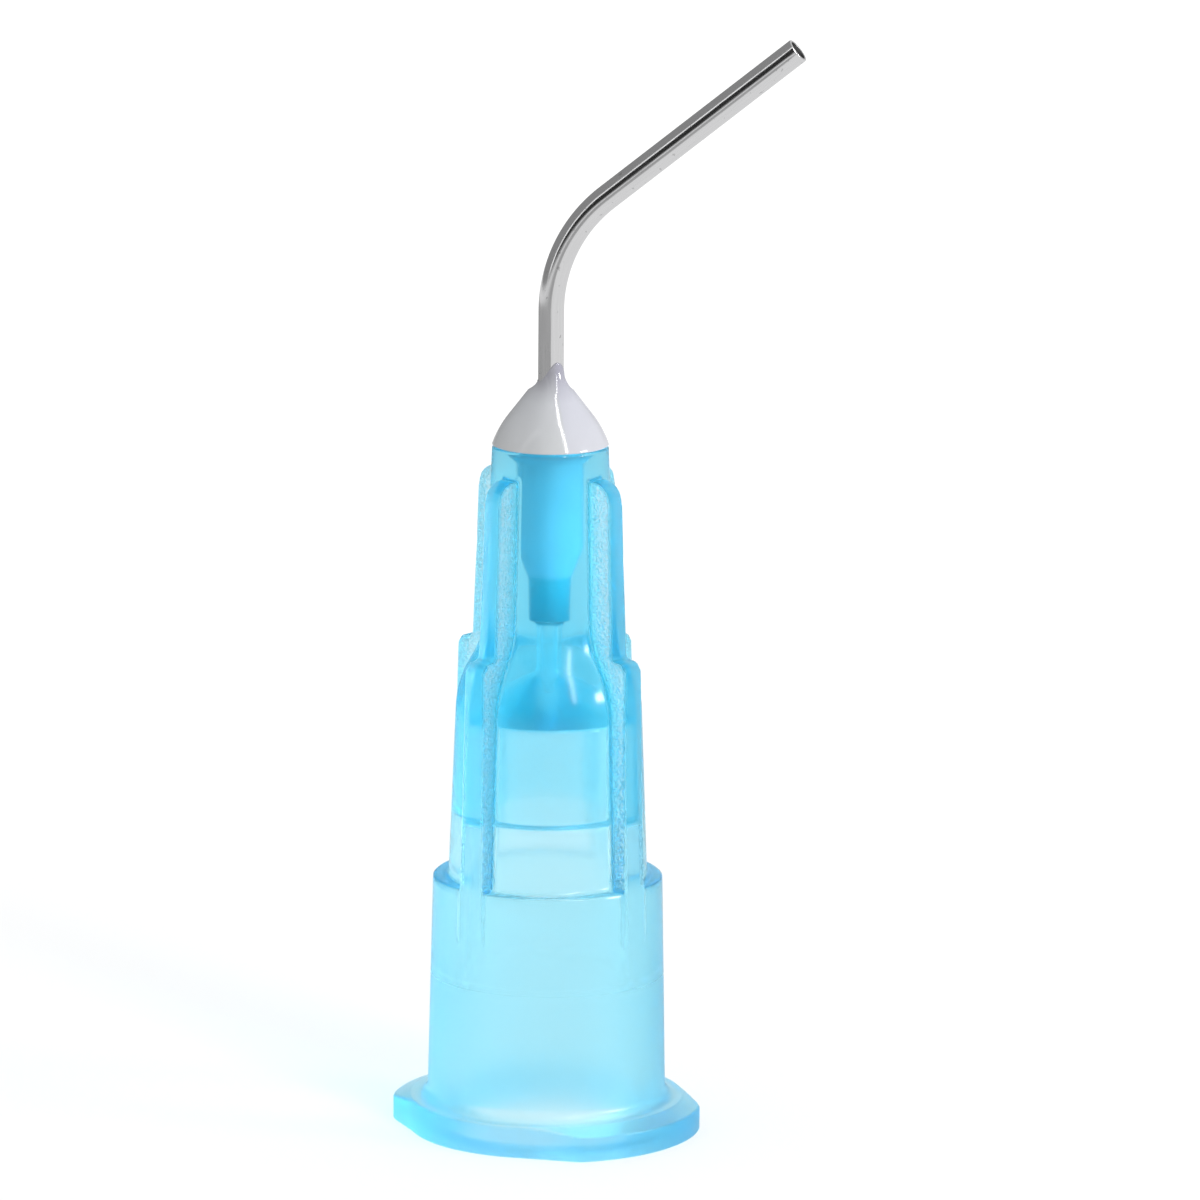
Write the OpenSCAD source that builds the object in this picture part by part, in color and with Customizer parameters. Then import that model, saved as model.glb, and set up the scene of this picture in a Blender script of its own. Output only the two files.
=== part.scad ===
// Dispensing needle tip: a moulded hub with a luer lock socket, a bent steel
// tube that seats in it, and the adhesive bead that holds the tube.
// The open mouth of the hub lies at z = 0 and its axis is Z. The tube bends
// towards +X. All lengths are in millimetres and all angles in degrees.

/* [Hub] */
// Height of the hub, from its open mouth to its upper rim
hub_h = 17.47; // [16.9:0.01:20]
// Angle of the first lug about the axis, from the side the tube bends to
hub_turn = -31.4; // [-180:0.1:180]
// Height of the shoulder where the smooth skirt ends
skirt_h = 6.5; // [5:0.05:7.5]
// Diameter of the skirt at its shoulder
skirt_top_d = 5.75; // [5.5:0.01:6]
// Draft of the skirt on each side
skirt_draft = 1.15; // [0.5:0.05:2]
// Radius of the fillet between the skirt and the flange
skirt_foot_r = 0.3; // [0.1:0.05:0.4]

/* [Flange and lugs] */
// Diameter of the round flange
flange_d = 6.94; // [6.8:0.01:7.2]
// Thickness of the flange
flange_h = 0.82; // [0.7:0.01:1.2]
// Diameter across the two locking lugs
lug_d = 7.78; // [7.5:0.01:8]
// Height of a lug at its outer edge
lug_edge_h = 0.64; // [0.4:0.01:0.68]
// Half of the angle that a lug's outer arc covers
lug_half_angle = 35.5; // [20:0.5:45]
// Chamfer on the outer edges of the flange
flange_chamfer = 0.07; // [0.02:0.01:0.15]

/* [Socket] */
// Diameter of the conical socket at its mouth
socket_d = 4.28; // [4.1:0.01:4.4]
// Taper of the socket, as a percentage of its diameter per length
socket_taper = 6; // [4:0.1:8]
// Depth of the conical socket
socket_depth = 8.1; // [7:0.05:8.4]
// Lead-in chamfer at the socket's mouth
socket_lead = 0.12; // [0.05:0.01:0.25]
// Diameter of the chamber above the socket
chamber_d = 3.1; // [2:0.05:3.3]
// Height of the chamber above the socket
chamber_h = 2.4; // [1.5:0.05:2.6]
// Height of the funnel that leads from the chamber to the channel
funnel_h = 0.96; // [0.6:0.01:1.1]
// Diameter of the channel below the tube
channel_d = 0.42; // [0.3:0.01:0.5]
// Length of the channel, up to the stop that the tube rests on
channel_h = 1.6; // [1:0.05:1.8]

/* [Barrel] */
// Diameter of the barrel at the hub's upper rim
rim_d = 2.9; // [2.6:0.01:3.2]
// Diameter of the barrel at its foot, where it starts to flare
barrel_foot_d = 3.26; // [3.1:0.01:3.5]
// Height of the barrel's foot
barrel_foot_h = 13.3; // [12.8:0.05:14]
// Diameter of the core between the ribs, where it starts to narrow
core_top_d = 4.6; // [4.4:0.01:4.8]
// Height where the core starts to narrow to the barrel
core_top_h = 10.7; // [10.3:0.05:11.5]
// Diameter of the core at the shoulder
core_foot_d = 4.98; // [4.8:0.01:5.2]
// Length of each pull that rounds the flare, as a share of half its height
flare_pull = 0.4; // [0.2:0.05:0.8]

/* [Ribs] */
// Diameter across the ribs at the shoulder
rib_foot_d = 5.84; // [5.6:0.01:5.9]
// Diameter across the ribs just below their step
rib_step_d = 5.6; // [5.3:0.01:5.7]
// Diameter across the ribs just above their step
rib_neck_d = 4.66; // [4.3:0.01:4.8]
// Diameter across the ribs at their top
rib_top_d = 4.34; // [3.9:0.01:4.5]
// Height of the step in the ribs
rib_step_h = 12.3; // [11.8:0.01:12.8]
// Distance from the upper rim down to the top of the ribs
rib_top_drop = 0.72; // [0.1:0.01:1.5]
// Thickness of a rib at the shoulder
rib_foot_w = 0.76; // [0.5:0.01:1]
// Thickness of a rib at its top
rib_top_w = 0.52; // [0.4:0.01:0.8]
// Radius of the rib's upper outer corner
rib_corner_r = 0.55; // [0.2:0.01:0.6]
// Radius of the outer round at the step
rib_step_r = 0.28; // [0.1:0.01:0.3]
// Radius of the fillet at the foot of the upper part, above the step
rib_neck_r = 0.14; // [0.05:0.01:0.15]
// Length over which a rib fades into the skirt below the shoulder
rib_fade_h = 1.3; // [0.5:0.1:2]

/* [Tube] */
// Outer diameter of the tube
tube_d = 0.64; // [0.5:0.01:0.8]
// Wall thickness of the tube
tube_wall = 0.12; // [0.08:0.01:0.15]
// Height above the upper rim where the tube's two straight lines would cross
tube_rise = 5.13; // [4.5:0.01:12]
// Length from that crossing to the tip
tube_reach = 7.87; // [4:0.01:15]
// Angle of the bend, from straight
bend_angle = 51; // [20:0.5:90]
// Radius of the bend, at the tube's centre line
bend_r = 3.7; // [2:0.05:4]
// Chamfer round the outside of the tip
tip_chamfer = 0.03; // [0.01:0.005:0.05]

/* [Adhesive] */
// Gap between the tube and the hub along the tube's seat
seat_gap = 0.01; // [0.005:0.005:0.04]
// Length of the close seat above the stop
seat_h = 1.07; // [0.6:0.01:1.3]
// Diameter of the adhesive pocket above its cone
pocket_d = 1.08; // [0.9:0.01:1.3]
// Height of the cone between the seat and the pocket
pocket_cone_h = 0.77; // [0.4:0.01:1]
// Diameter of the cup at the upper rim
cup_d = 1.9; // [1.5:0.01:2.2]
// Depth of the cup at the upper rim
cup_h = 0.45; // [0.2:0.01:0.7]
// Height of the bead's rounded cap above the rim
bead_cap_h = 0.72; // [0.4:0.01:1]
// Diameter of the bead at the top of its cap
bead_cap_d = 2.12; // [1.8:0.01:2.3]
// Height of the bead's straight flank above the cap
bead_flank_h = 0.63; // [0.3:0.01:0.8]
// Diameter of the bead at the top of its flank
bead_flank_d = 1.15; // [1:0.01:1.4]
// Height over which the bead creeps up the tube above its flank
bead_creep_h = 0.55; // [0.4:0.01:0.8]
// How full the cap is, as the share of its height that stays steep
cap_fullness = 0.55; // [0.3:0.05:0.7]

/* [Hidden] */

// Facets of a full round, and pieces in each short curve
$fn = 96;
curve_steps = 8;
// Overlap that lets a cut pass clean through a face
over = 0.5;
// Film of adhesive left where the bead runs out on the tube
film = 0.02;
// Amount by which a joined form is sunk into what carries it
sink = 0.02;
// Extra radius of the tube through its bend
bend_swell = 0.002;

// Height of the top of the ribs
rib_top_h = hub_h - rib_top_drop;
// Heights inside the hub, each built on the one below it
chamber_top_h = socket_depth + chamber_h;
funnel_top_h = chamber_top_h + funnel_h;
stop_h = funnel_top_h + channel_h;
seat_top_h = stop_h + seat_h;
pocket_foot_h = seat_top_h + pocket_cone_h;

// Radii worked out from the diameters above
flange_r = flange_d / 2;
rim_r = rim_d / 2;
tube_r = tube_d / 2;
seat_r = tube_r + seat_gap;
socket_end_r = (socket_d - socket_depth * socket_taper / 100) / 2;

// Where the bend of the tube starts, and where its free leg starts
bend_setback = bend_r * tan(bend_angle / 2);
bend_start_h = hub_h + tube_rise - bend_setback;
leg_start = [bend_r * (1 - cos(bend_angle)), 0, bend_start_h + bend_r * sin(bend_angle)];
leg_len = tube_reach - bend_setback;

// Radius of the drafted skirt at a height
function skirt_r(z) = skirt_top_d / 2 + (skirt_h - z) * tan(skirt_draft);

// Points of a round from angle a to angle b about a centre
function arc(centre, r, a, b) =
    [for (i = [0:curve_steps]) let (t = a + (b - a) * i / curve_steps)
        centre + r * [cos(t), sin(t)]];

// Points of a curve from p to q that is pulled towards one point
function bend(p, pull, q) =
    [for (i = [0:curve_steps]) let (t = i / curve_steps)
        pow(1 - t, 2) * p + 2 * t * (1 - t) * pull + pow(t, 2) * q];

// Wall of the adhesive pocket, from the top of the seat to the upper rim
function pocket_wall() = [
    [seat_r, seat_top_h],
    [pocket_d / 2, pocket_foot_h],
    [pocket_d / 2, hub_h - cup_h],
    [cup_d / 2, hub_h]
];

// Outside of the hub as a half section, without ribs and lugs
module hub_section() {
    foot_h = flange_h + skirt_foot_r;
    foot_centre = [skirt_r(foot_h) + skirt_foot_r, foot_h];
    core_top = [core_top_d / 2, core_top_h];
    barrel_foot = [barrel_foot_d / 2, barrel_foot_h];
    flare_middle = (core_top + barrel_foot) / 2;
    flare_half_h = (barrel_foot_h - core_top_h) / 2;
    polygon(concat(
        [[0, 0], [flange_r - flange_chamfer, 0], [flange_r, flange_chamfer]],
        [[flange_r, flange_h - flange_chamfer], [flange_r - flange_chamfer, flange_h]],
        arc(foot_centre, skirt_foot_r, 270, 180),
        [[skirt_top_d / 2, skirt_h], [core_foot_d / 2, skirt_h]],
        bend(core_top, core_top + [0, flare_half_h * flare_pull], flare_middle),
        bend(flare_middle, barrel_foot - [0, flare_half_h * flare_pull], barrel_foot),
        [[rim_r, hub_h], [0, hub_h]]
    ));
}

// Half section that the ribs are cut to: it fades into the skirt below the
// shoulder, steps in at mid height and has a round upper corner
module rib_section() {
    fade_h = skirt_h - rib_fade_h;
    step_low = [rib_step_d / 2 - rib_step_r, rib_step_h - rib_step_r];
    step_high = [rib_neck_d / 2 + rib_neck_r, rib_step_h + rib_neck_r];
    corner = [rib_top_d / 2 - rib_corner_r, rib_top_h - rib_corner_r];
    polygon(concat(
        [[0, fade_h], [skirt_r(fade_h) - sink, fade_h], [rib_foot_d / 2, skirt_h]],
        arc(step_low, rib_step_r, 0, 90),
        arc(step_high, rib_neck_r, 270, 180),
        arc(corner, rib_corner_r, 0, 90),
        [[0, rib_top_h]]
    ));
}

// One pair of opposite ribs, thinner towards the top
module rib_pair() {
    fade_h = skirt_h - rib_fade_h;
    growth = (rib_foot_w - rib_top_w) / (rib_top_h - skirt_h);
    low = (rib_foot_w + growth * rib_fade_h) / 2;
    high = (rib_top_w - growth * over) / 2;
    intersection() {
        rotate_extrude() rib_section();
        rotate([90, 0, 90])
            linear_extrude(height = rib_foot_d + 2 * over, center = true)
                polygon([[-low, fade_h], [low, fade_h],
                    [high, rib_top_h + over], [-high, rib_top_h + over]]);
    }
}

// The two locking lugs: sloped on top, with flat ends that run to the flange
module lugs() {
    reach_r = lug_d / 2;
    flat_r = flange_r - sink;
    flat_angle = lug_half_angle + acos(flat_r / reach_r);
    flat_end = flat_r * [cos(flat_angle), sin(flat_angle)];
    apex = flat_r / cos(flat_angle);
    intersection() {
        rotate_extrude()
            polygon([[0, 0], [reach_r - flange_chamfer, 0], [reach_r, flange_chamfer],
                [reach_r, lug_edge_h], [flange_r - flange_chamfer, flange_h],
                [0, flange_h]]);
        translate([0, 0, -over])
            linear_extrude(height = flange_h + 2 * over)
                polygon([[apex, 0], flat_end, -[flat_end.x, -flat_end.y],
                    [-apex, 0], -flat_end, [flat_end.x, -flat_end.y]]);
    }
}

// Everything that is open inside the hub, from its mouth to its upper rim
module hub_bore() {
    rotate_extrude()
        polygon(concat(
            [[0, -over], [socket_d / 2 + socket_lead + over, -over]],
            [[socket_d / 2 + socket_lead, 0]],
            [[socket_d / 2 - socket_lead * socket_taper / 200, socket_lead]],
            [[socket_end_r, socket_depth], [chamber_d / 2, socket_depth]],
            [[chamber_d / 2, chamber_top_h], [channel_d / 2, funnel_top_h]],
            [[channel_d / 2, stop_h], [seat_r, stop_h]],
            pocket_wall(),
            [[cup_d / 2 + over, hub_h + over], [0, hub_h + over]]
        ));
}

// The tube's path as a solid rod that can run past both ends. The bend is a
// touch fatter, and the straight legs run a little way into it.
module tube_path(r, past = 0) {
    translate([0, 0, stop_h - past])
        cylinder(h = bend_start_h - stop_h + past + sink, r = r);
    translate([bend_r, 0, bend_start_h])
        rotate([90, 0, 180])
            rotate_extrude(angle = bend_angle)
                translate([bend_r, 0])
                    circle(r = r + bend_swell);
    translate(leg_start)
        rotate([0, bend_angle, 0])
            translate([0, 0, -sink])
                cylinder(h = leg_len + past + sink, r = r);
}

// What the chamfer takes off the outside of the tip
module tip_cut() {
    translate(leg_start)
        rotate([0, bend_angle, 0])
            translate([0, 0, leg_len - tip_chamfer])
                rotate_extrude()
                    polygon([[tube_r + over, -over],
                        [tube_r + over, tip_chamfer + over],
                        [tube_r - tip_chamfer - over / 4, tip_chamfer + over / 4]]);
}

// Moulded hub in one piece
module hub() {
    color([0.45, 0.85, 1, 0.75])
        rotate([0, 0, hub_turn])
            difference() {
                union() {
                    rotate_extrude() hub_section();
                    rib_pair();
                    rotate([0, 0, 90]) rib_pair();
                    lugs();
                }
                hub_bore();
            }
}

// Bent steel tube, open at both ends, with its tip deburred
module needle_tube() {
    color([0.72, 0.73, 0.75])
        difference() {
            tube_path(tube_r);
            tube_path(tube_r - tube_wall, past = over);
            tip_cut();
        }
}

// Adhesive that fills the pocket and stands over the rim as a bead. Its cap and
// its creep up the tube both run smoothly into its straight flank.
module adhesive_bead() {
    cap_top = [bead_cap_d / 2, hub_h + bead_cap_h];
    flank_top = [bead_flank_d / 2, cap_top.y + bead_flank_h];
    creep_top = [tube_r + film, flank_top.y + bead_creep_h];
    flank_slope = (cap_top.x - flank_top.x) / bead_flank_h;
    cap_pull_h = bead_cap_h * cap_fullness;
    cap_pull = [cap_top.x + flank_slope * (bead_cap_h - cap_pull_h), hub_h + cap_pull_h];
    creep_pull = [creep_top.x, flank_top.y + (flank_top.x - creep_top.x) / flank_slope];
    color([0.8, 0.8, 0.83])
        difference() {
            rotate_extrude()
                polygon(concat(
                    [[0, seat_top_h]],
                    pocket_wall(),
                    bend([rim_r, hub_h], cap_pull, cap_top),
                    bend(flank_top, creep_pull, creep_top),
                    [[0, creep_top.y]]
                ));
            translate([0, 0, seat_top_h - over])
                cylinder(h = creep_top.y - seat_top_h + 2 * over, r = tube_r);
        }
}

hub();
needle_tube();
adhesive_bead();
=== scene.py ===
"""A dispensing needle tip: a translucent blue moulded hub, a bent steel tube and
the bead of adhesive round it.

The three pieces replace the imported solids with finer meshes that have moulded
rounds and fillets. Sizes below are in millimetres, as in the part's source, and
each mesh is brought to metres as it is made.
"""

import math

import bpy
import numpy as np
from mathutils import Matrix, Vector


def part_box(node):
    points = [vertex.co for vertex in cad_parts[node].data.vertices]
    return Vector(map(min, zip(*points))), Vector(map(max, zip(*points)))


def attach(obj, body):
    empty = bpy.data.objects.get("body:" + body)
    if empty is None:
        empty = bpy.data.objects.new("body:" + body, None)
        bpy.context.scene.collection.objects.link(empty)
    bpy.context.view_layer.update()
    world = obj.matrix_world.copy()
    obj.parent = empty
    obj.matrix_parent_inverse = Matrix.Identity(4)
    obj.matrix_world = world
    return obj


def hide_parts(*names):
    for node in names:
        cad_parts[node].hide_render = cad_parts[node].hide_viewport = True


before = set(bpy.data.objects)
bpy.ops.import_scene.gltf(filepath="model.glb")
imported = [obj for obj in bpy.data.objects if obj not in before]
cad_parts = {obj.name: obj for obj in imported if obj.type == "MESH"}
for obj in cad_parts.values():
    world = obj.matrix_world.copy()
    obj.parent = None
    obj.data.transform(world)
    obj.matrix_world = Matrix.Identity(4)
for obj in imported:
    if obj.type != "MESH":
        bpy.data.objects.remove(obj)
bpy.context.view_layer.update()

MM = 0.001  # metres in a millimetre

# --- Sizes of the hub ---
HUB_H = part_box("hub")[1].z / MM
HUB_TURN = math.radians(-31.4)
SKIRT_H = 6.5
SKIRT_TOP_R = 2.875
SKIRT_DRAFT = math.radians(1.15)
FLANGE_R = 3.47
FLANGE_H = 0.82
LUG_R = 3.89
LUG_EDGE_H = 0.64
LUG_HALF_ANGLE = math.radians(35.5)
CORE_FOOT_R = 2.49
CORE_TOP_R = 2.3
FLARE_LOW_H = 11.4  # where the core's line meets the flare's
FLARE_HIGH_H = 12.6  # where the flare's line meets the barrel's
BARREL_FOOT_R = 1.63
RIM_R = 1.45
RIB_FADE_H = 5.2
RIB_FOOT_R = 2.92
RIB_STEP_R = 2.8
RIB_NECK_R = 2.33
RIB_TOP_R = 2.17
RIB_STEP_H = 12.3
RIB_TOP_H = HUB_H - 0.72
RIB_FOOT_W = 0.76
RIB_TOP_W = 0.52
RIB_EDGE = 0.05  # rounding of the ribs' long edges
RIB_ROOT = 0.1  # fillet where a rib grows out of the body
FROST_EDGE = 0.06  # the frost fades over this distance from a rib's side
RIB_RISE = 0.2  # height over the body at which a rib counts as one in full
FLANGE_EDGE_R = 3.2  # the flange's edge is coloured from here out
SOCKET_R = 2.14
SOCKET_DEPTH = 8.1
SOCKET_END_R = SOCKET_R - SOCKET_DEPTH * 0.03
SOCKET_LEAD = 0.12
CHAMBER_R = 1.55
CHAMBER_TOP_H = 10.5
CHANNEL_R = 0.21
CHANNEL_LOW_H = 11.46
STOP_H = 13.06
SEAT_R = 0.33
SEAT_TOP_H = 14.13
POCKET_R = 0.54
POCKET_FOOT_H = 14.9
CUP_R = 0.95
CUP_H = 0.45

# --- Fineness of the meshes: points round the axis ---
HUB_TURNS = 288
SNAP_ROUNDS = 3  # that bring the hub's points onto its surface
SNAP_REACH = 0.03  # farthest move of a point in one round
LEAST_SLOPE = 0.2
POINT_STEP = 0.001  # lengths over which slopes are taken
NORMAL_STEP = 0.004
TUBE_TURNS = 96
BEAD_TURNS = 128
LEG_STEPS = 24  # along each straight length of the tube
BEND_STEPS = 40

# --- Sizes of the tube ---
TUBE_R = 0.32
TUBE_BORE_R = 0.2
TIP_ROUND = 0.03
MOUTH_R = 0.262  # where the bore opens out at the deburred tip
MOUTH_DEPTH = 0.09
BEND_ANGLE = math.radians(51)
BEND_R = 3.7
CROSSING_H = HUB_H + 5.13  # where the tube's two straight lines would cross
TUBE_REACH = 7.87

# --- Sizes of the adhesive ---
CAP_TOP = (1.06, HUB_H + 0.72)
FLANK_TOP = (0.575, HUB_H + 1.35)
CREEP_TOP = (TUBE_R + 0.02, HUB_H + 1.9)
GLUE_BITE = 0.02  # how far the adhesive reaches into the walls round it
GLUE_SHADE_LINE = (math.cos(math.radians(27)), math.sin(math.radians(27)), 0)  # square to the edge between the painted light on the bead's right and its shaded left
CREEP_ANGLE = math.radians(-50)  # the side on which the adhesive climbs highest
CREEP_LEAST, CREEP_EXTRA = 0.45, 0.9  # shares of the climb: all round, and more on that side

# --- The photograph's camera ---
CAMERA_AZIMUTH = math.radians(-79.9)
CAMERA_ELEVATION = math.radians(12.0)
CAMERA_DISTANCE = 0.26
CAMERA_TARGET = Vector((0, 0, 0.013))
CAMERA_ROLL = math.radians(0.37)
CAMERA_LENS = 312.8
CAMERA_SHIFT = (0.0422, 0.0162)

# --- Light: levels are shares of white ---
PHOTO_RIGHT = (math.cos(CAMERA_AZIMUTH + math.pi / 2), math.sin(CAMERA_AZIMUTH + math.pi / 2), 0)
SOFT_LEVEL = 0.9  # the world's light on the part
MIRRORED_RIGHT, MIRRORED_LEFT, MIRRORED_DARK = 0.52, 0.23, 0.02  # walls that steel mirrors
MIRRORED_FLOOR, MIRRORED_CARD, MIRRORED_FAR = 0.68, 0.32, 0.2  # floor that steel mirrors
# where those walls end, as directions: from where they start to fade to where they stop
LEFT_EDGE = (-0.25, -0.1)
STRIP_BACK, STRIP_FRONT = (-0.64, -0.61), (-0.53, -0.50)
DARK_FRONT, DARK_FOOT = (-0.66, -0.63), (0.0, 0.05)
# where the floor's card and its far dark part end: directions, and metres from the part
CARD_EDGE, CARD_NEAR, CARD_FAR = (-0.06, 0.02), (0.04, 0.06), (0.13, 0.17)
FAR_EDGE, FAR_REACH = (-0.3, -0.1), (0.2, 0.7)
GLOW_REACH = (0.02, 0.12)
FLOOR_PAINT = 0.8
SEEN_PAINT = 0.45  # what the camera sees of the floor's paint, with the shadow in it
SEEN_GLOW_NEAR, SEEN_GLOW_FAR = 0.44, 0.64  # added to it, so that the floor ends in white
STRIP_LAMP = {"place": (0.165, -0.165, 0.25), "aim": (0, 0, 0.018), "size": (0.024, 0.34), "power": 0.5}
SPOT_LAMP = {"place": (0.28, -0.04, 0.10), "aim": (0, 0, 0.0116), "size": (0.07, 0.04), "power": 0.4}
MOST_BOUNCES = 32  # light passes through many faces of the plastic
MOST_GLOSSY_BOUNCES = 16  # reflections inside the plastic count as these

# --- Plastic ---
PLASTIC_IOR = 1.49
PLASTIC_COLOUR = (0.0, 0.80, 0.965, 1)
PLASTIC_DENSITY = 415.0
FLANGE_EDGE_COLOUR = (0.30, 0.74, 1.0, 1)
RIB_FACE_COLOUR = (0.13, 0.76, 1.0, 1)
RIB_SIDE_COLOUR = (0.68, 0.95, 1.0, 1)
# what each zone adds to the share of haze
RIB_FACE_HAZE = 0.16
RIB_SIDE_HAZE = -0.04
GLINT_HAZE = 0.25
FLANGE_EDGE_HAZE = 0.3

# --- Colours by height: millimetres above the mouth, then a colour or a share ---
RAMP_SPAN = 20.0  # millimetres that such a ramp covers
HAZE_COLOURS = [(7.9, (0.85, 1.0, 1.0)), (8.3, (0.50, 0.93, 1.0)), (10.4, (0.50, 0.93, 1.0)),
                (10.9, (0.16, 0.86, 1.0)), (13.0, (0.30, 0.90, 1.0)), (17.0, (0.30, 0.90, 1.0))]
HAZE_SHARES = [(7.9, 0.12), (8.3, 0.20), (10.4, 0.20), (10.9, 0.32), (13.0, 0.22)]
GLUE_COLOURS = [(14.1, (0.02, 0.48, 0.62)), (14.25, (0.22, 0.62, 0.80)),
                (17.2, (0.26, 0.66, 0.82)), (17.46, (0.42, 0.43, 0.44)),
                (18.6, (0.40, 0.41, 0.43)), (19.3, (0.26, 0.26, 0.29))]
GLUE_LIT_SIDE = (1.03, 1.02, 1.08)  # painted light: colour of the bead's lit right side, against its shaded left


# ---------------------------------------------------------------- outlines

def rounded(corners, steps=8):
    """A closed outline from (x, y, radius) corners, each turned into an arc."""
    outline = []
    count = len(corners)
    for i, (x, y, radius) in enumerate(corners):
        here = np.array([x, y], float)
        if radius == 0:
            outline.append(here)
            continue
        to_last = np.array(corners[i - 1][:2], float) - here
        to_next = np.array(corners[(i + 1) % count][:2], float) - here
        to_last /= np.linalg.norm(to_last)
        to_next /= np.linalg.norm(to_next)
        half = math.acos(np.clip(to_last @ to_next, -1, 1)) / 2
        middle = to_last + to_next
        centre = here + middle / np.linalg.norm(middle) * radius / math.sin(half)
        start = here + to_last * radius / math.tan(half) - centre
        end = here + to_next * radius / math.tan(half) - centre
        sweep = math.atan2(start[0] * end[1] - start[1] * end[0], start @ end)
        for k in range(steps + 1):
            c, s = math.cos(sweep * k / steps), math.sin(sweep * k / steps)
            turned = (c * start[0] - s * start[1], s * start[0] + c * start[1])
            outline.append(centre + turned)
    return np.array(outline)


def outline_distance(outline, x, y):
    """Signed distance from points to a closed outline, negative inside."""
    nearest = np.full(x.shape, np.inf)
    inside = np.zeros(x.shape, bool)
    for (ax, ay), (bx, by) in zip(outline, np.roll(outline, -1, axis=0)):
        ex, ey = bx - ax, by - ay
        along = np.clip(((x - ax) * ex + (y - ay) * ey) / (ex * ex + ey * ey), 0, 1)
        nearest = np.minimum(nearest, (x - ax - along * ex) ** 2 + (y - ay - along * ey) ** 2)
        if ey:
            inside ^= ((ay <= y) != (by <= y)) & (x < ax + (y - ay) / ey * ex)
    return np.where(inside, -1.0, 1.0) * np.sqrt(nearest)


def curve_points(start, pull, end, steps):
    """Points of a curve from start to end, pulled towards one point."""
    t = np.linspace(0, 1, steps)[:, None]
    start, pull, end = (np.array(p, float) for p in (start, pull, end))
    return (1 - t) ** 2 * start + 2 * t * (1 - t) * pull + t ** 2 * end


# ---------------------------------------------------------------- the hub

FAR = 6.0  # beyond the axis: sections run past it, so that it is never an edge


def skirt_radius(z):
    return SKIRT_TOP_R + (SKIRT_H - z) * math.tan(SKIRT_DRAFT)


def hub_sections():
    """Half sections of the hub: its body, its ribs, its lugs and its bore."""
    body = rounded([
        (-FAR, 0, 0),
        (FLANGE_R, 0, 0.07),
        (FLANGE_R, FLANGE_H, 0.07),
        (skirt_radius(FLANGE_H), FLANGE_H, 0.32),
        (SKIRT_TOP_R, SKIRT_H, 0.07),
        (CORE_FOOT_R, SKIRT_H, 0.12),
        (CORE_TOP_R, FLARE_LOW_H, 2.4),
        (BARREL_FOOT_R, FLARE_HIGH_H, 2.4),
        (RIM_R, HUB_H, 0.04),
        (-FAR, HUB_H, 0),
    ])
    ribs = rounded([
        (-FAR, RIB_FADE_H, 0),
        (skirt_radius(RIB_FADE_H) - 0.02, RIB_FADE_H, 0),
        (RIB_FOOT_R, SKIRT_H, 0),
        (RIB_STEP_R, RIB_STEP_H, 0.28),
        (RIB_NECK_R, RIB_STEP_H, 0.14),
        (RIB_TOP_R, RIB_TOP_H, 0.55),
        (-FAR, RIB_TOP_H, 0),
    ])
    lugs = rounded([
        (-FAR, 0, 0),
        (LUG_R, 0, 0.07),
        (LUG_R, LUG_EDGE_H, 0.07),
        (FLANGE_R - 0.05, FLANGE_H, 0),
        (-FAR, FLANGE_H, 0),
    ])
    bore = rounded([
        (-FAR, -1, 0),
        (SOCKET_R + SOCKET_LEAD + 1, -1, 0),
        (SOCKET_R, SOCKET_LEAD, 0.05),
        (SOCKET_END_R, SOCKET_DEPTH, 0.1),
        (CHAMBER_R, SOCKET_DEPTH, 0.06),
        (CHAMBER_R, CHAMBER_TOP_H, 0.15),
        (CHANNEL_R, CHANNEL_LOW_H, 0.1),
        (CHANNEL_R, STOP_H, 0),
        (SEAT_R, STOP_H, 0.03),
        (SEAT_R, SEAT_TOP_H, 0.1),
        (POCKET_R, POCKET_FOOT_H, 0.2),
        (POCKET_R, HUB_H - CUP_H, 0.1),
        (CUP_R, HUB_H, 0),
        (CUP_R + 1, HUB_H + 1, 0),
        (-FAR, HUB_H + 1, 0),
    ])
    return body, ribs, lugs, bore


SECTIONS = hub_sections()


def round_union(a, b, radius):
    """Both solids together, with a fillet of that radius where they meet."""
    fillet = np.hypot(np.maximum(radius - a, 0), np.maximum(radius - b, 0))
    return np.maximum(radius, np.minimum(a, b)) - fillet


def round_overlap(a, b, radius):
    """What lies in both solids, with its edge rounded to that radius."""
    outside = np.hypot(np.maximum(a + radius, 0), np.maximum(b + radius, 0))
    return np.minimum(-radius, np.maximum(a, b)) + outside


def rib_sides(x, y, z):
    """Distance from the nearer pair of rib side faces, negative between them."""
    rise = (z - SKIRT_H) / (RIB_TOP_H - SKIRT_H)
    half_width = (RIB_FOOT_W + (RIB_TOP_W - RIB_FOOT_W) * rise) / 2
    return np.minimum(np.abs(x), np.abs(y)) - half_width


def lug_flats(x, y):
    """Distance from the flats at the lugs' ends, which run out into a circle."""
    flat_r = FLANGE_R - 0.02
    angle = LUG_HALF_ANGLE + math.acos(flat_r / LUG_R)
    x, y = np.abs(x), np.abs(y)
    flat = x * math.cos(angle) + y * math.sin(angle)
    past_flat = y * math.cos(angle) > x * math.sin(angle)
    return np.where(past_flat, np.hypot(x, y), flat) - flat_r


def hub_field(x, y, z, sections=None):
    """Signed distance to the hub's surface, in the hub's own turned frame.

    sections holds the four section distances where they are already known.
    """
    r = np.hypot(x, y)
    if sections is None:
        sections = [outline_distance(outline, r, z) for outline in SECTIONS]
    body, ribs, lugs, bore = sections
    flange = round_union(body, round_overlap(lugs, lug_flats(x, y), 0.06), 0.02)
    rib = round_overlap(ribs, rib_sides(x, y, z), RIB_EDGE)
    return np.maximum(round_union(flange, rib, RIB_ROOT), -bore)


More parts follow.
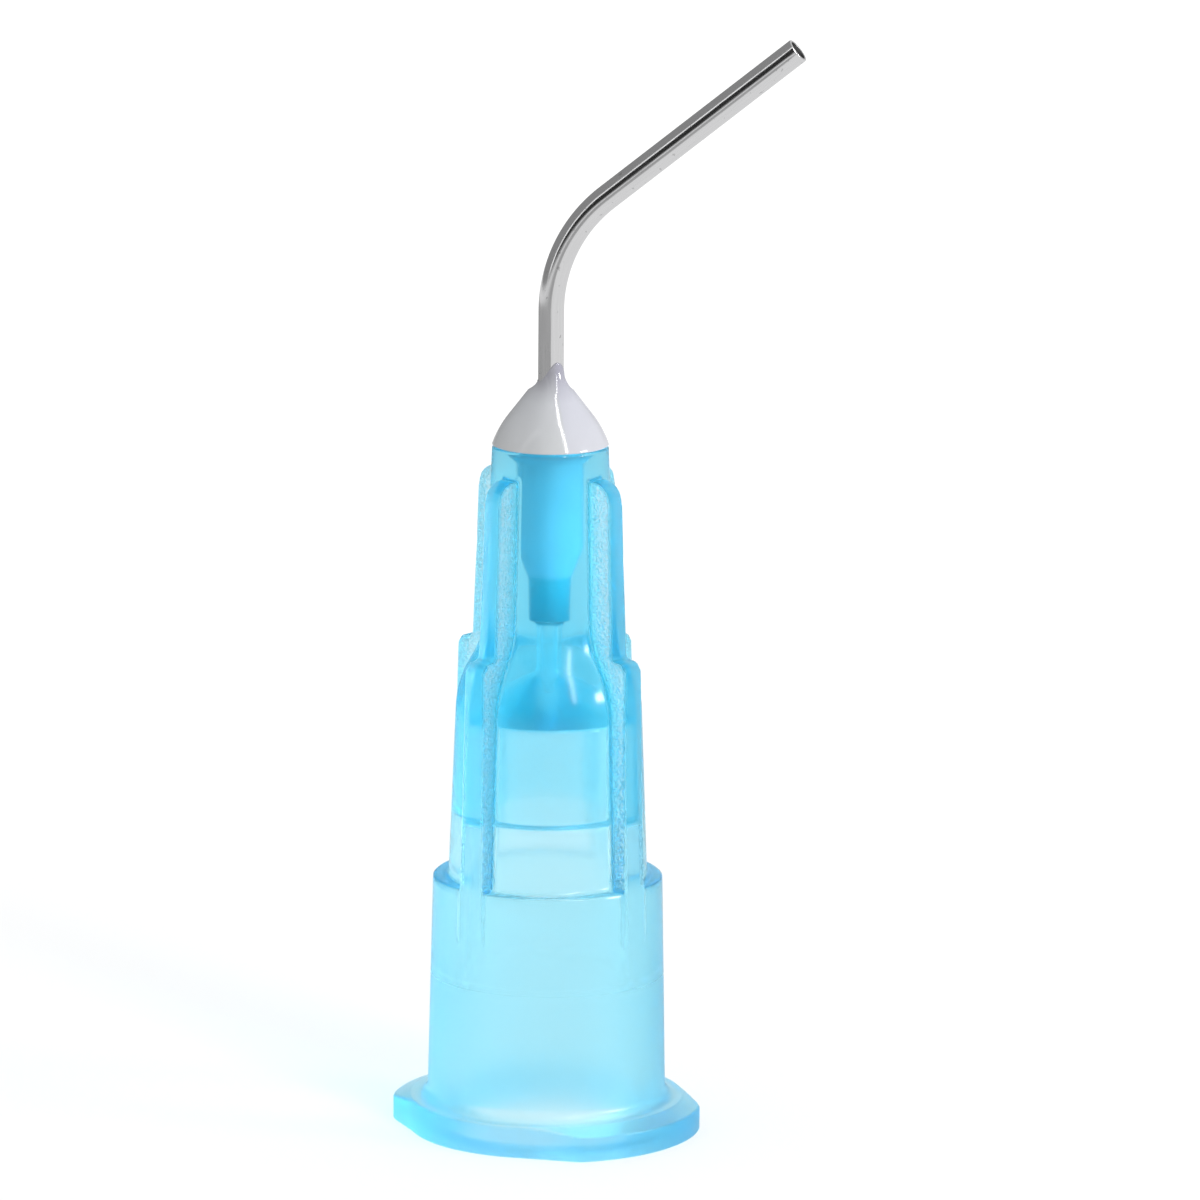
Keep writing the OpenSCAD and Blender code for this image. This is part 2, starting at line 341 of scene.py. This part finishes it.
def spaced_lines(low, high, coarse, fine, marks, reach):
    """Grid lines from low to high, set close together near the marks."""
    lines = [low]
    while lines[-1] < high:
        near = any(abs(lines[-1] - mark) < reach for mark in marks)
        lines.append(lines[-1] + (fine if near else coarse))
    return np.array(lines)


def surface_net(values, lines):
    """A quad mesh of the zero surface of values on a grid that closes on itself
    along its first axis. Returns points in grid coordinates, and quads."""
    turn, across, up = lines
    shape = (len(turn), len(across) - 1, len(up) - 1)
    full_turn = turn[1] - turn[0]
    turn_next = np.roll(turn, -1)
    turn_next[-1] = turn[-1] + full_turn
    inside = values < 0
    total = np.zeros(shape + (3,))
    count = np.zeros(shape)
    corner_lines = [np.stack([turn, turn_next]), np.stack([across[:-1], across[1:]]),
                    np.stack([up[:-1], up[1:]])]

    def corner(i, j, k):
        rolled = np.roll(values, -i, axis=0)
        return rolled[:, j:shape[1] + j, k:shape[2] + k]

    for axis in range(3):
        for first in (0, 1):
            for second in (0, 1):
                low = [first, second]
                low.insert(axis, 0)
                high = list(low)
                high[axis] = 1
                a, b = corner(*low), corner(*high)
                cut = (a < 0) != (b < 0)
                part = np.where(cut, a / np.where(cut, a - b, 1), 0)
                for d in range(3):
                    span = corner_lines[d].reshape(
                        [2] + [-1 if e == d else 1 for e in range(3)])
                    place = span[low[d]] + (span[high[d]] - span[low[d]]) * (part if d == axis else 0)
                    total[..., d] += np.where(cut, place, 0)
                count += cut
    used = count > 0
    number = np.full(shape, -1)
    number[used] = np.arange(used.sum())
    points = total[used] / count[used][:, None]

    quads = []
    last_turn = np.roll(number, 1, axis=0)
    # grid edges along the turn, across and up, each shared by four cells
    flips = inside[:, 1:-1, 1:-1] != np.roll(inside, -1, axis=0)[:, 1:-1, 1:-1]
    rings = [number[:, :-1, :-1], number[:, 1:, :-1], number[:, 1:, 1:], number[:, :-1, 1:]]
    quads.append((flips, rings, inside[:, 1:-1, 1:-1]))
    flips = inside[:, :-1, 1:-1] != inside[:, 1:, 1:-1]
    rings = [last_turn[:, :, :-1], last_turn[:, :, 1:], number[:, :, 1:], number[:, :, :-1]]
    quads.append((flips, rings, inside[:, :-1, 1:-1]))
    flips = inside[:, 1:-1, :-1] != inside[:, 1:-1, 1:]
    rings = [last_turn[:, :-1, :], number[:, :-1, :], number[:, 1:, :], last_turn[:, 1:, :]]
    quads.append((flips, rings, inside[:, 1:-1, :-1]))
    faces = []
    for flips, rings, starts_inside in quads:
        corners = np.stack([ring[flips] for ring in rings], axis=1)
        backwards = starts_inside[flips]
        corners[backwards] = corners[backwards][:, ::-1]
        faces.append(corners)
    return points, np.concatenate(faces)


def hub_gradient(p, step):
    """The hub's field and its slope at points, one row for each."""
    here = hub_field(*p.T)
    slope = np.empty_like(p)
    for axis in range(3):
        ahead = p.copy()
        ahead[:, axis] += step
        slope[:, axis] = (hub_field(*ahead.T) - here) / step
    return here, slope


def hub_mesh():
    """Points, normals and quads of the hub, and three shares for its material: how
    frosted each point is, how far out on a rib, and whether on the flange's edge."""
    turns = np.linspace(0, 2 * math.pi, HUB_TURNS, endpoint=False)
    across = spaced_lines(0.1, 4.05, coarse=0.09, fine=0.05, marks=[LUG_R], reach=0.1)
    marks = [0, LUG_EDGE_H, FLANGE_H + 0.15, SKIRT_H, SOCKET_DEPTH, CHAMBER_TOP_H,
             STOP_H, SEAT_TOP_H, RIB_STEP_H, RIB_TOP_H - 0.25, HUB_H]
    up = spaced_lines(-0.1, HUB_H + 0.1, coarse=0.25, fine=0.06, marks=marks, reach=0.2)
    rr, zz = np.meshgrid(across, up, indexing="ij")
    flat = [outline_distance(outline, rr, zz)[None] for outline in SECTIONS]
    x = np.cos(turns)[:, None, None] * rr[None]
    y = np.sin(turns)[:, None, None] * rr[None]
    points, quads = surface_net(hub_field(x, y, zz[None], flat), (turns, across, up))
    p = np.stack([points[:, 1] * np.cos(points[:, 0]),
                  points[:, 1] * np.sin(points[:, 0]), points[:, 2]], axis=1)
    for _ in range(SNAP_ROUNDS):
        here, slope = hub_gradient(p, POINT_STEP)
        size = np.maximum((slope ** 2).sum(axis=1), LEAST_SLOPE)
        p -= slope * np.clip(here / size, -SNAP_REACH, SNAP_REACH)[:, None]
    normals = hub_gradient(p, NORMAL_STEP)[1]
    normals /= np.linalg.norm(normals, axis=1)[:, None]
    r = np.hypot(p[:, 0], p[:, 1])
    on_side = 1 - np.clip(np.abs(rib_sides(*p.T)) / FROST_EDGE, 0, 1)
    over_body = outline_distance(SECTIONS[0], r, p[:, 2])
    rib = np.clip(over_body / RIB_RISE, 0, 1) * (p[:, 2] > RIB_FADE_H)
    upright = np.clip(2 - 2.5 * np.abs(normals[:, 2]), 0, 1)
    flange_edge = np.clip((r - FLANGE_EDGE_R) / 0.2, 0, 1) * upright
    return p, normals, quads, {"frost": on_side * rib, "rib": rib, "flange_edge": flange_edge}


def turned(points, angle):
    """Points turned about the Z axis."""
    c, s = math.cos(angle), math.sin(angle)
    return points @ np.array([[c, s, 0], [-s, c, 0], [0, 0, 1]])


def new_object(name, points, faces):
    """A smooth mesh object from points in millimetres."""
    mesh = bpy.data.meshes.new(name)
    mesh.from_pydata((np.asarray(points) * MM).tolist(), [], [list(map(int, f)) for f in faces])
    mesh.validate()
    mesh.shade_smooth()
    piece = bpy.data.objects.new(name, mesh)
    bpy.context.scene.collection.objects.link(piece)
    return piece


def ring_faces(rings, around):
    """Quads between rings of points, the last ring joined to the first."""
    faces = []
    for j in range(rings):
        nxt = (j + 1) % rings
        for k in range(around):
            right = (k + 1) % around
            faces.append((j * around + k, j * around + right,
                          nxt * around + right, nxt * around + k))
    return faces


def make_hub():
    """The hub with its moulded normals and the shares that its plastic reads."""
    points, normals, quads, shares = hub_mesh()
    piece = new_object("moulded_hub", turned(points, HUB_TURN), quads)
    mesh = piece.data
    mesh.normals_split_custom_set_from_vertices(turned(normals, HUB_TURN).tolist())
    for name, share in shares.items():
        attribute = mesh.attributes.new(name, "FLOAT", "POINT")
        attribute.data.foreach_set("value", share.astype(np.float32))
    return piece


# ---------------------------------------------------------------- the tube

def tube_stations():
    """Places along the tube's centre line: length so far, point and direction."""
    setback = BEND_R * math.tan(BEND_ANGLE / 2)
    bend_low = CROSSING_H - setback
    straight = [(s, (0, 0, STOP_H + s), 0.0)
                for s in np.linspace(0, bend_low - STOP_H, LEG_STEPS)]
    bend = []
    for angle in np.linspace(0, BEND_ANGLE, BEND_STEPS)[1:]:
        place = (BEND_R * (1 - math.cos(angle)), 0, bend_low + BEND_R * math.sin(angle))
        bend.append((straight[-1][0] + BEND_R * angle, place, angle))
    start = bend[-1]
    leg = []
    for s in np.linspace(0, TUBE_REACH - setback, LEG_STEPS)[1:]:
        place = (start[1][0] + s * math.sin(BEND_ANGLE), 0,
                 start[1][2] + s * math.cos(BEND_ANGLE))
        leg.append((start[0] + s, place, BEND_ANGLE))
    return straight + bend + leg


def make_tube():
    """The tube as one closed skin: up its outside, over the tip and down its bore."""
    stations = tube_stations()
    wall = [(TUBE_R, 0.0, i) for i in range(len(stations))]
    tip = len(stations) - 1
    rim = [(TUBE_R - TIP_ROUND * (1 - math.cos(a)), TIP_ROUND * (math.sin(a) - 1), tip)
           for a in np.linspace(0, math.pi / 2, 7)]
    rim += [(MOUTH_R, 0.0, tip), (MOUTH_R - 0.01, -0.015, tip), (TUBE_BORE_R, -MOUTH_DEPTH, tip)]
    bore = [(TUBE_BORE_R, 0.0, i) for i in reversed(range(tip))]
    rows = wall[:-1] + rim + bore
    points, lengths = [], []
    for radius, shift, i in rows:
        length, place, lean = stations[i]
        ahead = np.array([math.sin(lean), 0, math.cos(lean)])
        side = np.array([math.cos(lean), 0, -math.sin(lean)])
        centre = np.array(place) + ahead * shift
        for k in range(TUBE_TURNS):
            a = 2 * math.pi * k / TUBE_TURNS
            points.append(centre + radius * (side * math.cos(a) + np.array([0, 1, 0]) * math.sin(a)))
        lengths.append(length + shift)
    corners = []
    for low, high in zip(lengths, lengths[1:] + lengths[:1]):
        for k in range(TUBE_TURNS):
            left, right = k / TUBE_TURNS, (k + 1) / TUBE_TURNS
            corners += [(left, low), (right, low), (right, high), (left, high)]
    piece = new_object("bent_tube", points, ring_faces(len(rows), TUBE_TURNS))
    # marks the bore, where the steel gets painted shade and more roughness
    in_bore = np.repeat([1.0 if radius < MOUTH_R else 0.0 for radius, _, _ in rows], TUBE_TURNS)
    piece.data.attributes.new("bore", "FLOAT", "POINT").data.foreach_set("value", in_bore)
    layer = piece.data.uv_layers.new(name="along")
    layer.data.foreach_set("uv", np.array(corners, np.float32).ravel())
    return piece


# ---------------------------------------------------------------- the adhesive

def bead_outline():
    """Radii and heights of the bead, from its foot in the pocket to its top."""
    foot_h = STOP_H + GLUE_BITE
    wall = [(TUBE_R, foot_h), (SEAT_R + GLUE_BITE / 2, foot_h), (SEAT_R + GLUE_BITE, SEAT_TOP_H),
            (POCKET_R + GLUE_BITE, POCKET_FOOT_H), (POCKET_R + GLUE_BITE, HUB_H - CUP_H),
            (CUP_R + GLUE_BITE, HUB_H - GLUE_BITE), (RIM_R, HUB_H - 0.005)]
    slope = (CAP_TOP[0] - FLANK_TOP[0]) / (FLANK_TOP[1] - CAP_TOP[1])
    cap_pull_h = HUB_H + (CAP_TOP[1] - HUB_H) * 0.55
    cap_pull = (CAP_TOP[0] + slope * (CAP_TOP[1] - cap_pull_h), cap_pull_h)
    creep_pull = (CREEP_TOP[0], FLANK_TOP[1] + (FLANK_TOP[0] - CREEP_TOP[0]) / slope)
    cap = curve_points((RIM_R, HUB_H), cap_pull, CAP_TOP, 16)
    flank = np.linspace(CAP_TOP, FLANK_TOP, 10)[1:]
    creep = curve_points(FLANK_TOP, creep_pull, CREEP_TOP, 16)[1:]
    return wall + [tuple(p) for p in np.concatenate([cap, flank, creep])] + [(TUBE_R, CREEP_TOP[1])]


def make_bead():
    """The bead, whose adhesive climbs the tube highest on one side."""
    outline = bead_outline()
    points = []
    for r, z in outline:
        for k in range(BEAD_TURNS):
            angle = 2 * math.pi * k / BEAD_TURNS
            lobe = max(0.0, math.cos(angle - CREEP_ANGLE)) ** 2
            climb = z - FLANK_TOP[1]
            rise = climb * (CREEP_LEAST + CREEP_EXTRA * lobe) if climb > 0 else climb
            points.append((r * math.cos(angle), r * math.sin(angle), FLANK_TOP[1] + rise))
    return new_object("adhesive_cap", points, ring_faces(len(outline), BEAD_TURNS))


# ---------------------------------------------------------------- materials

class Nodes:
    """A material's or a world's node tree, built in short calls."""

    def __init__(self, owner):
        owner.use_nodes = True
        self.tree = owner.node_tree
        self.tree.nodes.clear()

    def add(self, kind, settings=None, **sockets):
        node = self.tree.nodes.new(kind)
        for key, value in (settings or {}).items():
            setattr(node, key, value)
        for key, value in sockets.items():
            self.set(node, key.replace("_", " "), value)
        return node

    def set(self, node, key, value):
        self.feed(node.inputs[int(key)] if key.isdigit() else node.inputs[key], value)

    def feed(self, socket, value):
        """Links a socket to another node's output, or sets its plain value."""
        if isinstance(value, bpy.types.NodeSocket):
            self.tree.links.new(value, socket)
        else:
            socket.default_value = value

    def mix_colours(self, share, a, b):
        node = self.add("ShaderNodeMix", {"data_type": "RGBA"})
        for key, value in (("Factor_Float", share), ("A_Color", a), ("B_Color", b)):
            self.feed(next(i for i in node.inputs if i.identifier == key), value)
        return next(o for o in node.outputs if o.identifier == "Result_Color")

    def maths(self, operation, a, b=0.0, c=0.0):
        node = self.add("ShaderNodeMath", {"operation": operation})
        for i, value in enumerate((a, b, c)):
            self.set(node, str(i), value)
        return node.outputs[0]


def smooth_step(n, value, low, high, at_low, at_high):
    """A value that runs smoothly from one level to another between two bounds."""
    node = n.add("ShaderNodeMapRange", {"interpolation_type": "SMOOTHSTEP"}, Value=value,
                 From_Min=low, From_Max=high, To_Min=at_low, To_Max=at_high)
    return node.outputs[0]


def blend(n, share, a, b):
    """The mean of two values, weighted by a share of the second."""
    return n.maths("MULTIPLY_ADD", share, n.maths("SUBTRACT", b, a), a)


def height_ramp(n, stops):
    """A colour that changes with height in the frame, from (millimetres, colour) stops."""
    position = n.add("ShaderNodeNewGeometry").outputs["Position"]
    height = n.add("ShaderNodeSeparateXYZ", Vector=position).outputs["Z"]
    share = n.maths("MULTIPLY", height, 1 / (RAMP_SPAN * MM))
    ramp = n.add("ShaderNodeValToRGB", Fac=share)
    elements = ramp.color_ramp.elements
    while len(elements) < len(stops):
        elements.new(0.5)
    for element, (place, colour) in zip(elements, stops):
        element.position = place / RAMP_SPAN
        element.color = (*colour, 1)
    return ramp.outputs["Color"]


def hub_plastic():
    """Tinted clear plastic with a milky share, deeper where the hub is solid."""
    material = bpy.data.materials.new("hub_plastic")
    n = Nodes(material)
    out = n.add("ShaderNodeOutputMaterial")
    frost = n.add("ShaderNodeAttribute", {"attribute_name": "frost"}).outputs["Fac"]
    place = n.add("ShaderNodeTexCoord").outputs["Object"]
    grain = n.add("ShaderNodeTexNoise", Vector=place, Scale=12000.0, Detail=1.0).outputs["Fac"]
    mottle = n.add("ShaderNodeTexNoise", Vector=place, Scale=700.0, Detail=3.0).outputs["Fac"]
    ripple = n.maths("ADD", n.maths("MULTIPLY", grain, frost), n.maths("MULTIPLY", mottle, 0.1))
    bump = n.add("ShaderNodeBump", Strength=1.0, Distance=0.00012, Height=ripple)
    glint = smooth_step(n, grain, 0.55, 0.72, 0, 1)
    height = n.add("ShaderNodeSeparateXYZ", Vector=place).outputs["Z"]
    rough = smooth_step(n, height, 3.0 * MM, SKIRT_H * MM, 0.30, 0.17)
    rough = n.maths("MULTIPLY_ADD", frost, 0.2, rough)
    plastic = n.add("ShaderNodeBsdfPrincipled", Base_Color=(1, 1, 1, 1), Roughness=rough,
                    IOR=PLASTIC_IOR, Transmission_Weight=1.0, Normal=bump.outputs[0])
    rib = n.add("ShaderNodeAttribute", {"attribute_name": "rib"}).outputs["Fac"]
    edge = n.add("ShaderNodeAttribute", {"attribute_name": "flange_edge"}).outputs["Fac"]
    tint = height_ramp(n, HAZE_COLOURS)
    face = n.maths("SUBTRACT", rib, frost)
    tint = n.mix_colours(n.maths("MULTIPLY", face, 0.85), tint, RIB_FACE_COLOUR)
    tint = n.mix_colours(frost, tint, RIB_SIDE_COLOUR)
    tint = n.mix_colours(edge, tint, FLANGE_EDGE_COLOUR)
    share = height_ramp(n, [(height, (haze, haze, haze)) for height, haze in HAZE_SHARES])
    share = n.maths("MULTIPLY_ADD", face, RIB_FACE_HAZE, share)
    share = n.maths("MULTIPLY_ADD", frost, RIB_SIDE_HAZE, share)
    share = n.maths("MULTIPLY_ADD", n.maths("MULTIPLY", frost, glint), GLINT_HAZE, share)
    share = n.maths("MULTIPLY_ADD", edge, FLANGE_EDGE_HAZE, share)
    haze = n.add("ShaderNodeBsdfTranslucent", Color=tint)
    milky = n.add("ShaderNodeMixShader")
    n.set(milky, "0", share)
    n.set(milky, "1", plastic.outputs[0])
    n.set(milky, "2", haze.outputs[0])
    volume = n.add("ShaderNodeVolumeAbsorption", Color=PLASTIC_COLOUR, Density=PLASTIC_DENSITY)
    clear = n.add("ShaderNodeBsdfTransparent", Color=(0.97, 0.99, 1, 1))
    mix = n.add("ShaderNodeMixShader")
    n.set(mix, "0", n.add("ShaderNodeLightPath").outputs["Is Shadow Ray"])
    n.set(mix, "1", milky.outputs[0])
    n.set(mix, "2", clear.outputs[0])
    n.set(out, "Surface", mix.outputs[0])
    n.set(out, "Volume", volume.outputs[0])
    return material


def tube_steel():
    """Drawn stainless steel: fine streaks along the tube, a few small pits, and painted shade that darkens
    the bore.
    """
    material = bpy.data.materials.new("tube_steel")
    n = Nodes(material)
    out = n.add("ShaderNodeOutputMaterial")
    along = n.add("ShaderNodeUVMap", {"uv_map": "along"}).outputs[0]
    drawn = n.add("ShaderNodeMapping", Vector=along, Scale=(46, 0.7, 1)).outputs[0]
    streak = n.add("ShaderNodeTexNoise", Vector=drawn, Scale=1.0, Detail=4.0, Roughness=0.6).outputs["Fac"]
    place = n.add("ShaderNodeTexCoord").outputs["Object"]
    speck = n.add("ShaderNodeTexNoise", Vector=place, Scale=7000.0, Detail=2.0).outputs["Fac"]
    pit = n.maths("GREATER_THAN", speck, 0.69)
    shade = n.add("ShaderNodeMapRange", Value=streak, To_Min=0.84, To_Max=1.0).outputs[0]
    shade = n.maths("MULTIPLY", shade, n.maths("MULTIPLY_ADD", pit, -0.25, 1.0))
    # painted shade: inside the bore the steel's colour is darkened, and it is made rougher
    bore = n.add("ShaderNodeAttribute", {"attribute_name": "bore"}).outputs["Fac"]
    shade = n.maths("MULTIPLY", shade, n.maths("MULTIPLY_ADD", bore, -0.93, 1.0))
    colour = n.add("ShaderNodeCombineColor", Red=shade, Green=shade,
                   Blue=n.maths("MULTIPLY", shade, 1.01)).outputs[0]
    rough = n.add("ShaderNodeMapRange", Value=streak, To_Min=0.09, To_Max=0.18).outputs[0]
    rough = n.maths("MULTIPLY_ADD", bore, 0.45, rough)
    relief = n.maths("MULTIPLY_ADD", pit, -1.0, n.maths("MULTIPLY", streak, 0.6))
    bump = n.add("ShaderNodeBump", Strength=0.08, Distance=0.00002, Height=relief)
    steel = n.add("ShaderNodeBsdfPrincipled", Base_Color=colour, Metallic=1.0,
                  Roughness=rough, Normal=bump.outputs[0])
    n.set(out, "Surface", steel.outputs[0])
    return material


def adhesive():
    """Set adhesive, milky grey above the rim and tinted by the hub round it below; above the rim its right
    side has painted light, lighter than its shaded left.
    """
    material = bpy.data.materials.new("adhesive")
    n = Nodes(material)
    out = n.add("ShaderNodeOutputMaterial")
    tint = height_ramp(n, GLUE_COLOURS)
    place = n.add("ShaderNodeTexCoord").outputs["Object"]
    cloud = n.add("ShaderNodeTexNoise", Vector=place, Scale=900.0, Detail=2.0).outputs["Fac"]
    shade = n.add("ShaderNodeMapRange", Value=cloud, To_Min=0.94, To_Max=1.06).outputs[0]
    colour = n.add("ShaderNodeVectorMath", {"operation": "SCALE"}, Scale=shade)
    n.set(colour, "0", tint)
    # painted light: right of this line, the bead above the rim is painted lighter than its shaded left
    side = n.add("ShaderNodeVectorMath", {"operation": "DOT_PRODUCT"})
    n.set(side, "0", place)
    n.set(side, "1", GLUE_SHADE_LINE)
    right = smooth_step(n, side.outputs["Value"], -0.05 * MM, 0.05 * MM, 0, 1)
    lit_side_colour = n.add("ShaderNodeVectorMath", {"operation": "MULTIPLY"})
    n.set(lit_side_colour, "0", colour.outputs[0])
    n.set(lit_side_colour, "1", GLUE_LIT_SIDE)
    above = smooth_step(n, n.add("ShaderNodeSeparateXYZ", Vector=place).outputs["Z"],
                        (HUB_H - 0.1) * MM, HUB_H * MM, 0, 1)
    colour = n.mix_colours(n.maths("MULTIPLY", right, above), colour.outputs[0], lit_side_colour.outputs[0])
    bump = n.add("ShaderNodeBump", Strength=0.15, Distance=0.00005, Height=cloud)
    glue = n.add("ShaderNodeBsdfPrincipled", Base_Color=colour, Roughness=0.1,
                 Normal=bump.outputs[0])
    n.set(out, "Surface", glue.outputs[0])
    return material


def dress(piece, material, node):
    """Gives a piece its material, and puts it in its CAD node's place."""
    piece.data.materials.append(material)
    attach(piece, "root")
    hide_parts(node)


# ---------------------------------------------------------------- the studio

def make_floor():
    """A pale floor with the part's shadow. Rays that the plastic or the steel has
    turned meet it as a glow instead."""
    bpy.ops.mesh.primitive_circle_add(vertices=64, radius=2.5, fill_type="NGON",
                                      location=(0, 0, -0.00001))
    floor = bpy.context.object
    floor.name = "floor"
    material = bpy.data.materials.new("floor")
    n = Nodes(material)
    out = n.add("ShaderNodeOutputMaterial")
    path = n.add("ShaderNodeLightPath")
    paint = n.add("ShaderNodeBsdfDiffuse", Color=(FLOOR_PAINT, FLOOR_PAINT, FLOOR_PAINT, 1))
    seen_paint = n.add("ShaderNodeBsdfDiffuse", Color=(SEEN_PAINT, SEEN_PAINT, SEEN_PAINT, 1))
    place = n.add("ShaderNodeNewGeometry").outputs["Position"]
    reach = n.add("ShaderNodeVectorMath", {"operation": "LENGTH"})
    n.set(reach, "0", place)
    reach = reach.outputs["Value"]
    glow = smooth_step(n, reach, *GLOW_REACH, SEEN_GLOW_NEAR, SEEN_GLOW_FAR)
    seen_glow = n.add("ShaderNodeEmission", Color=(1, 1, 1, 1), Strength=glow)
    seen = n.add("ShaderNodeAddShader")
    n.set(seen, "0", seen_paint.outputs[0])
    n.set(seen, "1", seen_glow.outputs[0])
    to_camera = n.add("ShaderNodeMixShader")
    n.set(to_camera, "0", path.outputs["Is Camera Ray"])
    n.set(to_camera, "1", paint.outputs[0])
    n.set(to_camera, "2", seen.outputs[0])
    # mirrored by steel, a grey card lies on the left of the part; elsewhere it is pale
    side = n.add("ShaderNodeVectorMath", {"operation": "DOT_PRODUCT"})
    n.set(side, "0", place)
    n.set(side, "1", PHOTO_RIGHT)
    side = n.maths("DIVIDE", side.outputs["Value"], reach)
    card = n.maths("MULTIPLY", smooth_step(n, side, *CARD_EDGE, 1, 0),
                   n.maths("MULTIPLY", smooth_step(n, reach, *CARD_NEAR, 0, 1),
                           smooth_step(n, reach, *CARD_FAR, 1, 0)))
    far = n.maths("MULTIPLY", smooth_step(n, side, *FAR_EDGE, 1, 0),
                  smooth_step(n, reach, *FAR_REACH, 0, 1))
    mirrored = blend(n, card, blend(n, far, MIRRORED_FLOOR, MIRRORED_FAR), MIRRORED_CARD)
    level = blend(n, path.outputs["Is Transmission Ray"], mirrored, 1.0)
    glow = n.add("ShaderNodeEmission", Color=(1, 1, 1, 1), Strength=level)
    bent = n.maths("MAXIMUM", path.outputs["Is Glossy Ray"], path.outputs["Is Transmission Ray"])
    mix = n.add("ShaderNodeMixShader")
    n.set(mix, "0", bent)
    n.set(mix, "1", to_camera.outputs[0])
    n.set(mix, "2", glow.outputs[0])
    n.set(out, "Surface", mix.outputs[0])
    floor.data.materials.append(material)


def make_world():
    """White to the camera and through the plastic, soft light on the part, and
    for mirrored rays a studio with grey, dark and pale walls."""
    world = bpy.data.worlds.new("studio")
    bpy.context.scene.world = world
    n = Nodes(world)
    out = n.add("ShaderNodeOutputWorld")
    path = n.add("ShaderNodeLightPath")
    toward = n.add("ShaderNodeSeparateXYZ", Vector=n.add("ShaderNodeTexCoord").outputs["Generated"])
    x, y, z = (toward.outputs[axis] for axis in "XYZ")
    left = smooth_step(n, x, *LEFT_EDGE, 1, 0)
    wall = blend(n, left, MIRRORED_RIGHT, MIRRORED_LEFT)
    strip = n.maths("MULTIPLY", smooth_step(n, y, *STRIP_BACK, 0, 1),
                    smooth_step(n, y, *STRIP_FRONT, 1, 0))
    wall = blend(n, n.maths("MULTIPLY", strip, left), wall, 1.0)
    dark = n.maths("MULTIPLY", left, n.maths("MULTIPLY", smooth_step(n, y, *DARK_FRONT, 1, 0),
                                             smooth_step(n, z, *DARK_FOOT, 0, 1)))
    wall = blend(n, dark, wall, MIRRORED_DARK)
    level = blend(n, path.outputs["Is Glossy Ray"], SOFT_LEVEL, wall)
    seen = n.maths("MAXIMUM", path.outputs["Is Camera Ray"], path.outputs["Is Transmission Ray"])
    level = blend(n, seen, level, 1.0)
    light = n.add("ShaderNodeBackground", Color=(1, 1, 1, 1), Strength=level)
    n.set(out, "Surface", light.outputs[0])


def make_lamp(name, place, aim, size, power):
    """A rectangular lamp of that size in metres and power in watts."""
    lamp = bpy.data.lights.new(name, "AREA")
    lamp.shape = "RECTANGLE"
    lamp.size, lamp.size_y = size
    lamp.energy = power
    holder = bpy.data.objects.new(name, lamp)
    bpy.context.scene.collection.objects.link(holder)
    place, aim = Vector(place), Vector(aim)
    holder.location = place
    holder.rotation_euler = (aim - place).to_track_quat("-Z", "Y").to_euler()


def make_camera():
    """The camera of the photograph, with its framing."""
    camera = bpy.data.cameras.new("camera")
    camera.lens = CAMERA_LENS
    camera.sensor_width = 36.0
    camera.shift_x, camera.shift_y = CAMERA_SHIFT
    camera.clip_start = 0.01
    holder = bpy.data.objects.new("camera", camera)
    bpy.context.scene.collection.objects.link(holder)
    flat = math.cos(CAMERA_ELEVATION)
    away = Vector((flat * math.cos(CAMERA_AZIMUTH), flat * math.sin(CAMERA_AZIMUTH),
                   math.sin(CAMERA_ELEVATION)))
    place = CAMERA_TARGET + away * CAMERA_DISTANCE
    aim = (-away).to_track_quat("-Z", "Y").to_matrix().to_4x4()
    holder.matrix_world = Matrix.Translation(place) @ aim @ Matrix.Rotation(CAMERA_ROLL, 4, "Z")
    bpy.context.scene.camera = holder


dress(make_hub(), hub_plastic(), "hub")
dress(make_tube(), tube_steel(), "needle_tube")
dress(make_bead(), adhesive(), "adhesive_bead")
make_floor()
make_world()
make_lamp("strip", **STRIP_LAMP)
make_lamp("spot", **SPOT_LAMP)
make_camera()
bpy.context.scene.view_settings.view_transform = "Standard"
bpy.context.scene.cycles.max_bounces = MOST_BOUNCES
bpy.context.scene.cycles.glossy_bounces = MOST_GLOSSY_BOUNCES
bpy.context.scene.cycles.transmission_bounces = MOST_BOUNCES
